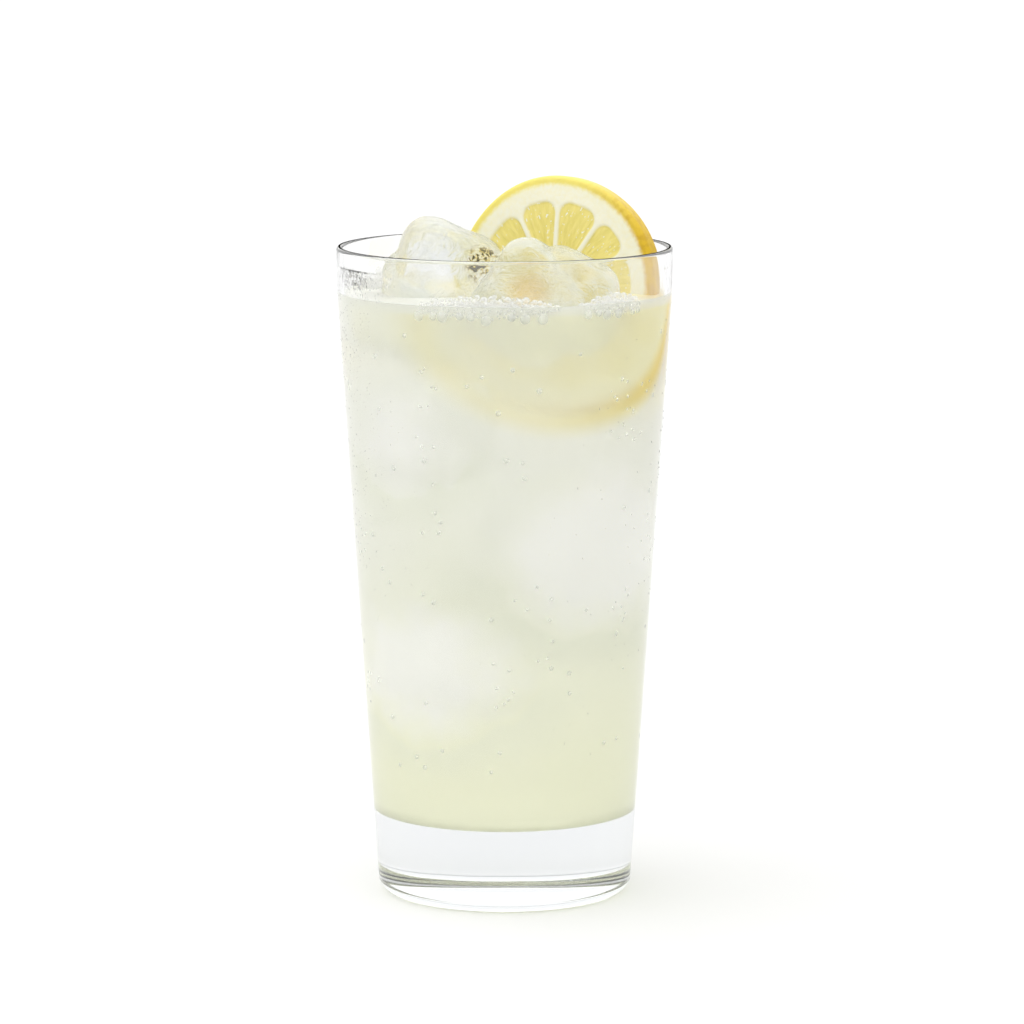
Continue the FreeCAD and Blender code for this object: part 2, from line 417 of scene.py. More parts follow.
# %% Shape the lemon wheel
LEMON_RADIUS = 26.5
LEMON_THICKNESS = 4.5
PEEL = 5.7
SEGMENTS = 11
UNEVEN = 2.5
MEMBRANE = 0.7
SEGMENT_CORNER = 3.3
SEGMENT_DEPTH = 0.35
LEMON_TURN = 31.0
LEMON_SLIDE = 2.7
LEMON_LEAN = 7.5
LEMON_OVER_RIM = 14.5
LEMON_CLEARANCE = 0.3
SKIN_ROUNDING = 0.9
SACS = 0.12
SACS_AROUND = 20
SACS_ALONG = 0.3
FIBRES = 0.06
SWELL = 0.5

membranes = [90 - k * 360 / SEGMENTS - UNEVEN * math.sin(2.6 * k) for k in range(SEGMENTS)]


def lemon_matrix():
    """Where the wheel stands: across the glass, leaning out, its right edge near the wall."""
    lean = math.radians(LEMON_LEAN)
    middle = HEIGHT + LEMON_OVER_RIM - LEMON_RADIUS * math.cos(lean)
    reach = inside(middle) - LEMON_CLEARANCE
    away = math.sqrt(reach ** 2 - (LEMON_RADIUS + LEMON_SLIDE) ** 2) - LEMON_THICKNESS / 2
    turn = Matrix.Rotation(math.radians(-LEMON_TURN), 4, "Z")
    upright = Matrix.Rotation(math.radians(90 - LEMON_LEAN), 4, "X")
    place = turn @ Vector((LEMON_SLIDE * MM, away * MM, middle * MM))
    return Matrix.Translation(place) @ turn @ upright


def smooth_step(low, high, value):
    share = min(max((value - low) / (high - low), 0), 1)
    return share * share * (3 - 2 * share)


def into_flesh(radius, angle):
    """Distance in mm from a point to the edge of its segment, positive inside the flesh."""
    gap = min(abs((angle - m + 180) % 360 - 180) for m in membranes)
    side = radius * math.sin(math.radians(gap)) - MEMBRANE / 2
    edge = LEMON_RADIUS - PEEL - radius
    corner = SEGMENT_CORNER
    if side < corner and edge < corner:
        return corner - math.hypot(corner - side, corner - edge)
    return min(side, edge)


def lemon_blank():
    """The slice before any detail: an outline with rounded skin, spun once round."""
    half = LEMON_THICKNESS / 2
    bm = bmesh.new()
    outline = [(0, half), (LEMON_RADIUS, half), (LEMON_RADIUS, -half), (0, -half)]
    verts = [bm.verts.new((r * MM, 0, z * MM)) for r, z in outline]
    for pair in zip(verts, verts[1:]):
        bm.edges.new(pair)
    bmesh.ops.bevel(
        bm, geom=verts[1:3], offset=SKIN_ROUNDING * MM, affect="VERTICES",
        segments=5, profile=0.5, material=-1,
    )
    # first the two cut faces, from the middle to the skin, then the skin itself
    for shortest, cuts in ((10.0, 76), (1.5, 4)):
        long_edges = [e for e in bm.edges if e.calc_length() > shortest * MM]
        bmesh.ops.subdivide_edges(bm, edges=long_edges, cuts=cuts)
    bmesh.ops.spin(
        bm, geom=bm.verts[:] + bm.edges[:], cent=(0, 0, 0), axis=(0, 0, 1),
        angle=math.tau, steps=420, use_merge=True,
    )
    face_outwards(bm)
    return bm


def shape_lemon():
    """Sinks the flesh, raises its juice sacs and leaves a map of flesh and skin on the points."""
    bm = lemon_blank()
    flesh_layer = bm.verts.layers.float.new("flesh")
    skin_layer = bm.verts.layers.float.new("from_middle")
    for vert in bm.verts:
        radius = vert.co.xy.length / MM
        direction = math.atan2(vert.co.y, vert.co.x)
        on_face = abs(vert.co.z) > (LEMON_THICKNESS / 2 - 0.05) * MM
        depth = into_flesh(radius, math.degrees(direction))
        flesh = smooth_step(-0.05, 0.45, depth) if on_face else 0
        face = 1 if vert.co.z > 0 else -1
        around = Vector((math.cos(direction), math.sin(direction), 0)) * SACS_AROUND
        sac = noise.noise(around + Vector((0, 0, radius * SACS_ALONG + 7 * face)))
        if on_face:
            fibre = FIBRES * noise.noise(vert.co / (1.6 * MM)) * (1 - flesh)
            vert.co.z -= face * (SEGMENT_DEPTH * flesh - SACS * sac * flesh - fibre) * MM
        swell = SWELL * noise.noise(Vector((math.cos(direction), math.sin(direction), 2.0)) * 0.9)
        vert.co.xy *= 1 + swell * (radius / LEMON_RADIUS) ** 2 / LEMON_RADIUS
        vert[flesh_layer] = flesh
        vert[skin_layer] = radius / LEMON_RADIUS if on_face else 1.0
    bm.transform(lemon_matrix())
    return bm


lemon = new_piece("lemon_slice", shape_lemon())
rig.replaces(lemon, "lemon_wheel")
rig.slot(lemon, "lemon")
print("lemon faces:", len(lemon.data.polygons))

# %% [markdown]
# ## Ice sunk in the drink
# More cubes float under the surface, seen only as paler patches through the cloudy drink. Each starts as a
# cube, its edges are bevelled round, and it melts in the same way as the others. No point of them is sharp
# in the drink, so a plain cube is enough to start from. They are one piece.

# %% Sunk cubes
SUNK_ROUNDING = 0.28
SUNK_ICE = (
    # size, middle x y z, turns about x, y and z, how far round it the drink looks pale
    (22.0, (-14.5, -15.0, 109.0), (6, -10, 44), 8.0),
    (26.0, (10.5, -11.0, 84.0), (10, 14, -38), 13.5),
    (25.0, (-8.0, -10.0, 57.0), (-8, 16, 30), 12.5),
    (21.0, (-13.5, 13.5, 105.0), (12, 8, -40), 10.0),
    (21.0, (13.6, 14.5, 98.0), (-9, -12, 45), 10.0),
    (21.0, (-11.5, 11.5, 76.0), (14, -6, 50), 10.0),
    (21.0, (11.5, 11.5, 65.0), (7, 15, -32), 10.0),
)


def sunk_cube(k, size, middle, turns):
    """The mesh of one rounded cube, turned, in its place and melted."""
    bm = bmesh.new()
    bmesh.ops.create_cube(bm, size=size * MM)
    bmesh.ops.bevel(
        bm, geom=bm.edges[:], offset=size * SUNK_ROUNDING * MM, affect="EDGES",
        segments=5, profile=0.5, material=-1,
    )
    bmesh.ops.subdivide_edges(bm, edges=bm.edges[:], cuts=2, use_grid_fill=True)
    for axis, degrees in zip("XYZ", turns):
        bm.transform(Matrix.Rotation(math.radians(degrees), 4, axis))
    bm.transform(Matrix.Translation(Vector(middle) * MM))
    face_outwards(bm)
    mesh = bpy.data.meshes.new("cube")
    bm.to_mesh(mesh)
    bm.free()
    melt(mesh, 0.8, 0.15, 20.0 + k)
    gap = min(inside(v.co.z / MM) - v.co.xy.length / MM for v in mesh.vertices)
    print("cube", k, "stays clear of the wall by", round(gap, 1), "mm")
    return mesh


def sunk_ice():
    """All sunk cubes as one piece."""
    bm = bmesh.new()
    for k, (size, middle, turns, _) in enumerate(SUNK_ICE, 1):
        mesh = sunk_cube(k, size, middle, turns)
        bm.from_mesh(mesh)
        bpy.data.meshes.remove(mesh)
    return new_piece("sunk_ice", bm)


sunk = sunk_ice()
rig.slot(sunk, "ice")

# %% [markdown]
# ## Foam and bubbles
# Shaking leaves small bubbles: a froth that gathers in patches along the wall and hangs down a little below
# the surface, a row of larger ones just under it, and single ones and small streams that cling to the glass
# further down. Each kind is one piece, joined from copies of a ball of few faces. The seed is fixed, so the
# bubbles are the same each time.


# %% Copies of one small shape
def ball(cut=None):
    """A ball of radius 1, or the part of it above a height."""
    bm = bmesh.new()
    bmesh.ops.create_icosphere(bm, subdivisions=2, radius=1.0)
    if cut is not None:
        bmesh.ops.bisect_plane(
            bm, geom=bm.verts[:] + bm.edges[:] + bm.faces[:],
            plane_co=(0, 0, cut), plane_no=(0, 0, 1), clear_inner=True,
        )
        rim = [e for e in bm.edges if e.is_boundary]
        bmesh.ops.edgeloop_fill(bm, edges=rim)
        bmesh.ops.recalc_face_normals(bm, faces=bm.faces)
    mesh = bpy.data.meshes.new("ball")
    bm.to_mesh(mesh)
    bm.free()
    return mesh


def scattered(name, shape, places):
    """One piece from copies of a mesh; a place is a 4x4 matrix."""
    bm = bmesh.new()
    for place in places:
        copy = shape.copy()
        copy.transform(place)
        bm.from_mesh(copy)
        bpy.data.meshes.remove(copy)
    piece = new_piece(name, bm)
    print(name, "copies:", len(places), "faces:", len(piece.data.polygons))
    return piece


def at_wall(bearing, radius, z):
    """A point in mm on a circle; the bearing runs in degrees from the front to the right."""
    direction = math.radians(bearing - 90)
    return Vector((radius * math.cos(direction), radius * math.sin(direction), z))


def sized(point, size):
    """The place of a ball with its middle and radius in mm."""
    return Matrix.Translation(point * MM) @ Matrix.Scale(size * MM, 4)


def clear_of_ice(point, size):
    """Whether a ball stays outside the cubes and the lemon."""
    for piece in (ice_left, ice_front, lemon):
        _, nearest, normal, _ = piece.closest_point_on_mesh(point * MM)
        if (point * MM - nearest).dot(normal) < 0.6 * size * MM:
            return False
    return True


def free_place(point, size, taken, crowding):
    """Whether a ball keeps off all others; a crowding of 1 lets them touch, less lets them overlap."""
    return all((point - other).length > crowding * (size + other_size) for other, other_size in taken)


# %% Froth on the surface
FROTH = (
    # bearing of the middle, half width in degrees, reach from the wall, bubbles
    (-6.0, 25.0, 12.0, 620),
    (42.0, 12.0, 8.0, 230),
    (-128.0, 17.0, 8.0, 200),
    (152.0, 20.0, 8.0, 240),
)
FROTH_PILE = 2.2
FROTH_SIZES = (0.32, 0.42, 0.52, 0.65, 0.85)
FROTH_CROWDING = 0.82
TRIES_PER_BUBBLE = 30
HANGING_SIZES = (0.3, 0.4, 0.5)
HANGING_CROWDING = 0.7
HANGING_DEPTH = 2.2
HANGING_INTO_WALL = 0.4
HANGING_PER_DEGREE = 6
chance = random.Random(7)


def froth_patch(middle, half_width, reach, count):
    """Bubbles piled against the wall, fewer towards both ends and towards the middle of the glass."""
    patch = []
    for _ in range(count * TRIES_PER_BUBBLE):
        if len(patch) == count:
            break
        spread = chance.uniform(-1, 1)
        depth = reach * chance.random() ** 1.8 * (1 - 0.7 * spread ** 2)
        size = chance.choice(FROTH_SIZES)
        pile = FROTH_PILE * (1 - spread ** 2) * max(0, 1 - depth / reach) ** 2
        lift = MENISCUS * max(0, 1 - depth / MENISCUS_WIDTH) ** 2 + pile * chance.random()
        off_wall = inside(LEVEL) - size - depth
        point = at_wall(middle + half_width * spread, off_wall, LEVEL + lift + 0.3 * size)
        if clear_of_ice(point, size) and free_place(point, size, patch, FROTH_CROWDING):
            patch.append((point, size))
    return patch


def hang_below(middle, half_width, taken):
    """Adds small bubbles at the wall, which hang down furthest at the middle of a patch."""
    for _ in range(HANGING_PER_DEGREE * int(half_width)):
        spread = chance.uniform(-1, 1)
        size = chance.choice(HANGING_SIZES)
        z = LEVEL + 0.6 - HANGING_DEPTH * (1 - spread ** 2) * chance.random()
        point = at_wall(middle + half_width * spread, inside(z) + HANGING_INTO_WALL - size, z)
        if free_place(point, size, taken, HANGING_CROWDING):
            taken.append((point, size))


def froth():
    taken = []
    for middle, half_width, reach, count in FROTH:
        taken += froth_patch(middle, half_width, reach, count)
        hang_below(middle, half_width, taken)
    return [sized(point, size) for point, size in taken]


foam = scattered("froth", ball(), froth())
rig.slot(foam, "drink")

# %% Larger bubbles under the surface, and single ones down the wall
# How far a bubble reaches into the wall, so that it shows there.
ROW_INTO_WALL = 0.8
BEAD_INTO_WALL = 0.5
BEADS = 110
STREAMS = 22


def row_of_bubbles():
    """A row along each patch of froth, nearly side by side."""
    places = []
    for middle, half_width, _, _ in FROTH:
        bearing = middle - half_width
        while bearing < middle + half_width:
            size = chance.uniform(0.8, 1.7)
            z = LEVEL - 0.2 - size * chance.uniform(0.6, 1.0)
            places.append(sized(at_wall(bearing, inside(z) + ROW_INTO_WALL - size, z), size))
            bearing += math.degrees(size * chance.uniform(2.1, 3.6) / inside(z))
    return places


def beads():
    """Single bubbles, and streams of smaller ones that rise from one spot."""
    spots = [
        (chance.uniform(-180, 180), chance.uniform(FLOOR + 12, LEVEL - 4), chance.uniform(0.4, 0.9))
        for _ in range(BEADS)
    ]
    for _ in range(STREAMS):
        bearing = chance.uniform(-180, 180)
        z = chance.uniform(FLOOR + 30, LEVEL - 12)
        for _ in range(chance.randint(6, 14)):
            height = min(chance.gauss(z, 5.0), LEVEL - 4)
            spots.append((chance.gauss(bearing, 4.0), height, chance.uniform(0.25, 0.5)))
    return [
        sized(at_wall(bearing, inside(z) + BEAD_INTO_WALL - size, z), size)
        for bearing, z, size in spots
    ]


bubbles = scattered("clinging_bubbles", ball(), row_of_bubbles() + beads())
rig.slot(bubbles, "drink")

# %% [markdown]
# ## Dew on the outside
# The glass is cold, so the air leaves dew on it: fine drops in patches, and here and there a large one. A
# drop is the cap of a ball, set a hair into the glass so that no gap shows under it. Dew could also be bumps
# in the finish of the glass, but real caps catch the light at their edges and show against the outline.

# %% Dew
DEW = (
    # bearing of the middle, half width, height of the middle, half height, drops, smallest, largest
    (-62.0, 16.0, 142.5, 3.5, 700, 0.10, 0.28),
    (-72.0, 26.0, 130.0, 12.0, 240, 0.08, 0.20),
    (-60.0, 30.0, 98.0, 34.0, 200, 0.08, 0.20),
    (20.0, 60.0, 85.0, 50.0, 120, 0.10, 0.26),
    (110.0, 40.0, 105.0, 40.0, 380, 0.10, 0.34),
    (-160.0, 50.0, 100.0, 45.0, 420, 0.10, 0.34),
)
DROP_THICKNESS = 0.32
DROP_CUT = -0.1
DROP_LIFT = 0.02


def dew():
    """Flat caps on the wall, thickest in the middle of each patch."""
    places = []
    for middle, half_width, height, half_height, count, smallest, largest in DEW:
        for _ in range(count):
            bearing = chance.gauss(middle, half_width / 2)
            z = min(chance.gauss(height, half_height / 2), HEIGHT - 4)
            size = chance.triangular(smallest, largest, smallest)
            out = at_wall(bearing, 1, 0).normalized()
            tall = size * MM * chance.uniform(1, 1.25)
            flat = Matrix.Diagonal((size * MM, tall, size * MM * DROP_THICKNESS, 1))
            turn = out.to_track_quat("Z", "Y").to_matrix().to_4x4()
            point = at_wall(bearing, outside(z) + DROP_LIFT * size, z)
            places.append(Matrix.Translation(point * MM) @ turn @ flat)
    return places


drops = scattered("dew", ball(cut=DROP_CUT), dew())
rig.slot(drops, "glass")

# %% [markdown]
# ## Shader maths as expressions
# A node tree is easier to read as a formula. `Wire` wraps one output, so that `1 - mask * 0.5` adds the Math
# nodes it needs, and `Finish` adds any other node from its type, its settings and its sockets.


# %% Wires and finishes
class Wire:
    """An output socket that takes part in Python expressions."""

    def __init__(self, finish, socket):
        self.finish = finish
        self.socket = socket

    def calc(self, operation, *values):
        return self.finish.calc(operation, *values)

    def __add__(self, other):
        return self.calc("ADD", self, other)

    def __sub__(self, other):
        return self.calc("SUBTRACT", self, other)

    def __mul__(self, other):
        return self.calc("MULTIPLY", self, other)

    def __truediv__(self, other):
        return self.calc("DIVIDE", self, other)

    def __rsub__(self, other):
        return self.calc("SUBTRACT", other, self)

    def __rpow__(self, other):
        return self.calc("POWER", other, self)

    __radd__ = __add__
    __rmul__ = __mul__

    def ramp(self, low, high):
        """0 below low, 1 above high, smooth between."""
        return self.finish.node(
            "ShaderNodeMapRange", {"interpolation_type": "SMOOTHSTEP", "clamp": True},
            {"Value": self, "From Min": low, "From Max": high, "To Min": 0.0, "To Max": 1.0},
        )


class Finish:
    """A node tree for one material or for the world."""

    def __init__(self, name, tree=None):
        if tree is None:
            self.material = bpy.data.materials.new(name)
            self.material.use_nodes = True
            tree = self.material.node_tree
        self.tree = tree
        self.tree.nodes.clear()

    def feed(self, target, value):
        """Links a wire to a socket, or gives the socket a plain value."""
        if isinstance(value, Wire):
            self.tree.links.new(value.socket, target)
        else:
            target.default_value = value

    def node(self, kind, settings=None, sockets=None, output=0):
        made = self.tree.nodes.new(kind)
        for name, value in (settings or {}).items():
            setattr(made, name, value)
        for name, value in (sockets or {}).items():
            self.feed(made.inputs[name], value)
        return Wire(self, made.outputs[output])

    def colour(self, share, first, second):
        """A colour between two others; each is a wire or a plain (r, g, b)."""
        made = self.tree.nodes.new("ShaderNodeMix")
        made.data_type = "RGBA"
        self.feed(made.inputs[0], share)
        for target, value in ((made.inputs[6], first), (made.inputs[7], second)):
            self.feed(target, value if isinstance(value, Wire) else (*value, 1.0))
        return Wire(self, made.outputs[2])

    def place(self):
        return self.node("ShaderNodeTexCoord", output="Object")

    def parts(self, vector):
        """The x, y and z of a vector."""
        made = self.tree.nodes.new("ShaderNodeSeparateXYZ")
        self.tree.links.new(vector.socket, made.inputs[0])
        return [Wire(self, out) for out in made.outputs]

    def vector(self, x, y, z):
        return self.node("ShaderNodeCombineXYZ", {}, {0: x, 1: y, 2: z})

    def noise(self, size, detail=3.0, roughness=0.5, vector=None, distortion=0.0):
        """Noise from 0 to 1 with features about this many millimetres across."""
        return self.node("ShaderNodeTexNoise", {"noise_dimensions": "3D"}, {
            "Vector": vector or self.place(), "Scale": 1 / (size * MM), "Detail": detail,
            "Roughness": roughness, "Distortion": distortion,
        })

    def calc(self, operation, *values):
        return self.node("ShaderNodeMath", {"operation": operation}, dict(enumerate(values)))

    def length(self, first, second):
        return self.calc("SQRT", first * first + second * second)

    def distance(self, place, middle):
        """Distance in mm from a place to a point given in mm."""
        return self.node(
            "ShaderNodeVectorMath", {"operation": "DISTANCE"}, {0: place, 1: Vector(middle) * MM}, "Value"
        ) / MM

    def in_lemon(self):
        """The place in mm as seen from the middle of the lemon wheel."""
        back = lemon_matrix().inverted()
        return self.node("ShaderNodeMapping", {}, {
            "Vector": self.place(), "Rotation": back.to_euler(), "Scale": (1 / MM,) * 3,
            "Location": back.to_translation() / MM,
        })

    def turned_to_lemon(self, direction):
        """A direction as seen from the lemon wheel."""
        back = lemon_matrix().inverted()
        return self.node("ShaderNodeMapping", {"vector_type": "VECTOR"}, {
            "Vector": direction, "Rotation": back.to_euler(),
        })

    def attribute(self, name):
        return self.node("ShaderNodeAttribute", {"attribute_name": name}, output="Fac")

    def bump(self, height, distance, strength=1.0):
        sockets = {"Height": height, "Distance": distance * MM, "Strength": strength}
        return self.node("ShaderNodeBump", {}, sockets, "Normal")

    def output(self, surface, volume=None, lets_lamps_through=None):
        """Ends the tree; a colour as the last value tints the light of the lamps that passes through."""
        out = self.tree.nodes.new("ShaderNodeOutputMaterial")
        if lets_lamps_through:
            shadow = self.node("ShaderNodeLightPath", output="Is Shadow Ray")
            clear = self.node("ShaderNodeBsdfTransparent", {}, {"Color": (*lets_lamps_through, 1)})
            surface = self.node("ShaderNodeMixShader", {}, {0: shadow, 1: surface, 2: clear})
        self.tree.links.new(surface.socket, out.inputs["Surface"])
        if volume:
            self.tree.links.new(volume.socket, out.inputs["Volume"])
        return self.material


def dress(material, piece):
    piece.data.materials.clear()
    piece.data.materials.append(material)


# %% [markdown]
# ## Finish of the glass
# Clear glass, a cool grey where a ray has a long way through it. A colour on the surface would tint thin and
# thick parts alike, so the tint is in the absorption inside. Broad, shallow waves in the surface keep its
# reflections from being ruler straight.

# %% Clear glass
GLASS = 1.5
WAVES = 14.0


def clear_glass():
    f = Finish("clear_glass")
    surface = f.node("ShaderNodeBsdfPrincipled", {}, {
        "Base Color": (1, 1, 1, 1), "Roughness": 0.0, "IOR": GLASS, "Transmission Weight": 0.97,
        "Normal": f.bump(f.noise(WAVES, 1.0), 0.05),
    })
    tint = f.node("ShaderNodeVolumeAbsorption", {}, {"Color": (0.84, 0.86, 0.88, 1), "Density": 16.0})
    return f.output(surface, tint, (0.90, 0.91, 0.90))


dress(clear_glass(), glass)

# %% [markdown]
# ## Finish of the drink
# Lemon juice makes the drink cloudy: light goes in, scatters and comes out pale yellow. A volume would do
# that too, but slowly and with much grain. So it is one surface that is partly matt and partly lets light
# through, blurred, with a weak glow for the light that is scattered inside. Where ice lies close behind the
# wall there is less drink to look through, so the colour is paler there, with a painted line of darker,
# greener shade below it. The drink is a deeper yellow further down.

# %% The lemon behind the wall
# A look through the curved wall bends towards the middle of the drink. The tint of a point is found along
# such a bent look, from the front for the front half and from the back for the back half, up to the cut
# face of the lemon, and it fades with the way through the drink. The peel also tints the wall that it
# nearly touches.
WATER = 1.333
FLESH_FADES = 22
PEEL_FADES = 17
BLUR = 3.0
PEEL_STRENGTH = 1.8
MOST_PEEL = 0.95
TOUCH_REACH = 11.0
TOUCH_TINT = 0.9


def lemon_behind_wall(f):
    """How much flesh and how much peel tints a point of the wall."""
    x, y, z = f.parts(f.place())
    off_axis = f.length(x, y)
    across, up, out = f.parts(f.in_lemon())
    facing = f.calc("ABSOLUTE", y) / off_axis
    bend = f.calc("SQRT", 1 - (1 - facing * facing) / WATER ** 2) - facing / WATER
    look_x = 0 - x / off_axis * bend
    look_y = 0 - y / off_axis * bend - f.calc("SIGN", y) / WATER
    step_across, step_up, step_out = f.parts(f.turned_to_lemon(f.vector(look_x, look_y, 0.0)))
    side = f.calc("SIGN", out)
    way = (out * side - LEMON_THICKNESS / 2) / (0 - step_out * side)
    reached = way.ramp(0.0, 1.0) * (LEVEL - z / MM).ramp(0.3, 1.5)
    radius = f.length(across + step_across * way, up + step_up * way)
    on_slice = (1 - radius.ramp(LEMON_RADIUS - BLUR, LEMON_RADIUS + BLUR)) * reached
    flesh = on_slice * 0.5 ** (way / FLESH_FADES)
    past_rim = f.calc("MAXIMUM", f.length(across, up) - LEMON_RADIUS, 0.0)
    past_face = f.calc("MAXIMUM", out * side - LEMON_THICKNESS / 2, 0.0)
    near_wall = 1 - f.length(past_rim, past_face).ramp(1.0, TOUCH_REACH)
    touching = near_wall * (LEVEL - z / MM).ramp(-1.0, 1.0) * TOUCH_TINT
    peel = radius.ramp(LEMON_RADIUS - 6.0, LEMON_RADIUS - 1.0) * on_slice * 0.5 ** (way / PEEL_FADES)
    peel = f.calc("MINIMUM", peel * PEEL_STRENGTH, MOST_PEEL)
    return flesh, f.calc("MAXIMUM", peel, touching)


# %% Cloudy lemon drink
HIGH_DRINK = (0.96, 0.965, 0.89)
LOW_DRINK = (0.945, 0.95, 0.72)
SHADE_BELOW_ICE = (0.87, 0.89, 0.74)
OVER_ICE = (0.99, 0.985, 0.955)
FLESH_TINT = (0.97, 0.92, 0.36)
PEEL_TINT = (0.95, 0.76, 0.01)
DRINK_GLOW = (0.52, 0.53, 0.47)
ICE_GLOW = (1.0, 1.0, 0.97)
PEEL_GLOW = (0.52, 0.40, 0.0)


def cloudy_drink():
    f = Finish("cloudy_drink")
    place = f.place()
    z = f.parts(place)[2] / MM
    clouds = f.noise(20.0, 2.0)
    wisps = f.noise(9.0, 2.0)
    low = 1 - (z + clouds * 20).ramp(30.0, 120.0)
    body = f.colour(low, HIGH_DRINK, LOW_DRINK)
    near_ice = outline = 0.0
    for size, middle, _, pale in SUNK_ICE:
        gap = f.distance(place, middle) - size * 0.5 - pale + (wisps - 0.5) * 7
        below = (middle[2] - z).ramp(0.0, 10.0)
        near_ice = f.calc("MAXIMUM", near_ice, 1 - gap.ramp(-7.0, 0.4))
        # painted shade: a thin darker, greener line along the lower edge of each pale patch
        outline = f.calc("MAXIMUM", outline, gap.ramp(-0.4, 0.6) * (1 - gap.ramp(0.6, 8.0)) * below)
    body = f.colour(outline * 0.5, body, SHADE_BELOW_ICE)
    body = f.colour(near_ice, body, OVER_ICE)
    flesh, peel = lemon_behind_wall(f)
    body = f.colour(flesh, body, FLESH_TINT)
    body = f.colour(peel, body, PEEL_TINT)
    glow = f.colour(near_ice, DRINK_GLOW, ICE_GLOW)
    glow = f.colour(peel, glow, PEEL_GLOW)
    surface = f.node("ShaderNodeBsdfPrincipled", {}, {
        "Base Color": body, "Roughness": 0.32, "IOR": WATER, "Transmission Weight": 0.5,
        "Emission Color": glow, "Emission Strength": 0.08,
    })
    return f.output(surface, None, (0.86, 0.86, 0.80))


dress(cloudy_drink(), drink)

# %% [markdown]
# ## Finish of the ice
# The outside of melting ice is clear and wet. Inside, trapped air turns it milky in clouds. One surface with
# clouds of a paler, rougher finish shows that without a volume. Round one point the left cube has painted
# dark and golden glints, reflections as the lemon next to it would make them, and round another the front
# cube has a painted amber reflection of the lemon.
# Sunk ice hardly bends light, because the drink round it bends it as much.

# %% Wet ice
ICE = 1.31
CLEAR_ICE = (0.83, 0.86, 0.88)
MILKY_ICE = (0.94, 0.95, 0.97)
RIPPLE_SHADE = (0.72, 0.75, 0.74)
SUNK_CLEAR = (0.96, 0.965, 0.93)
SUNK_MILKY = (0.99, 0.99, 0.98)
LEMON_GLINTS = (-4.5, -6.2, 144.5)
LEMON_THROUGH_ICE = (5.4, -23.3, 139.8)
GOLD_GLINTS = (0.66, 0.47, 0.08)
DARK_GLINTS = (0.02, 0.02, 0.015)
LEMON_REFLECTION = (0.86, 0.60, 0.26)


def wet_ice(name, through, relief, index=ICE, clear=CLEAR_ICE, milky=MILKY_ICE, glints=None, lemon_reflection=None):
    """Ice; glints is a point in mm with painted glints round it, lemon_reflection one with a painted reflection of the
    lemon round it.
    """
    f = Finish(name)
    cloud = f.noise(8.0, 3.0)
    calm = f.noise(12.0, 1.0).ramp(0.4, 0.6)
    ripples = f.noise(3.0, 4.0, 0.6, distortion=1.6) * (1 - calm * 0.8)
    body = f.colour(cloud.ramp(0.35, 0.7), clear, milky)
    body = f.colour(ripples.ramp(0.50, 0.56) * 0.55, body, RIPPLE_SHADE)
    # painted glints: golden and dark reflections round one point of the left cube
    if glints:
        near = 1 - f.distance(f.place(), glints).ramp(3.0, 5.5)
        glint_spots = f.noise(1.3, 2.0, 0.6, distortion=1.0)
        body = f.colour(near * glint_spots.ramp(0.46, 0.52), body, GOLD_GLINTS)
        body = f.colour(near * glint_spots.ramp(0.53, 0.57), body, DARK_GLINTS)
    # painted reflection: an amber image of the lemon round one point of the front cube
    if lemon_reflection:
        near = 0.85 - f.distance(f.place(), lemon_reflection).ramp(1.5, 6.5) * 0.85
        body = f.colour(near, body, LEMON_REFLECTION)
    surface = f.node("ShaderNodeBsdfPrincipled", {}, {
        "Base Color": body, "Roughness": cloud.ramp(0.5, 0.75) * 0.25, "IOR": index,
        "Transmission Weight": through, "Normal": f.bump(ripples, relief, 1.0),
    })
    return f.output(surface, None, (0.96, 0.96, 0.95))


dress(wet_ice("wet_ice_left", 0.95, 0.9, glints=LEMON_GLINTS), ice_left)
dress(wet_ice("wet_ice_front", 0.95, 0.9, lemon_reflection=LEMON_THROUGH_ICE), ice_front)
dress(wet_ice("sunk_ice", 0.75, 0.3, 1.02, SUNK_CLEAR, SUNK_MILKY), sunk)

# %% [markdown]
# ## Finish of froth, bubbles and dew
# A bubble is air behind a skin of drink. In the drink it shows only by its edge, so it hardly bends light and
# is pale. Froth is the same skin many times over and reads white. Dew is water. All three are one smooth,
# clear surface with different numbers.


# %% Froth, bubbles and dew
def clear_skin(name, index, through, colour):
    f = Finish(name)
    surface = f.node("ShaderNodeBsdfPrincipled", {}, {
        "Base Color": (*colour, 1), "Roughness": 0.02, "IOR": index, "Transmission Weight": through,
    })
    return f.output(surface, None, (0.97, 0.97, 0.96))


dress(clear_skin("froth_skin", 1.2, 0.75, (0.97, 0.97, 0.95)), foam)
dress(clear_skin("air_bubble", 1.06, 0.6, (0.97, 0.98, 0.95)), bubbles)
dress(clear_skin("dew_water", WATER, 1.0, (1.0, 1.0, 1.0)), drops)

# %% [markdown]
# ## Finish of the lemon
# Skin, pith, membranes and flesh differ in colour and in gloss. The shape has left its own map on the
# points, so the finish only has to mix colours along it.

# %% Cut lemon
JUICE = (0.79, 0.67, 0.16)
PALE_JUICE = (0.91, 0.78, 0.25)
OUTER_JUICE = (0.93, 0.81, 0.27)
WET_GLINT = (0.98, 0.97, 0.88)
PITH = (0.95, 0.93, 0.76)
OUTER_PITH = (0.94, 0.90, 0.66)
LIT_SKIN = (0.93, 0.80, 0.19)
SHADED_SKIN = (0.76, 0.49, 0.012)
SKIN_FLECKS = (0.62, 0.36, 0.02)


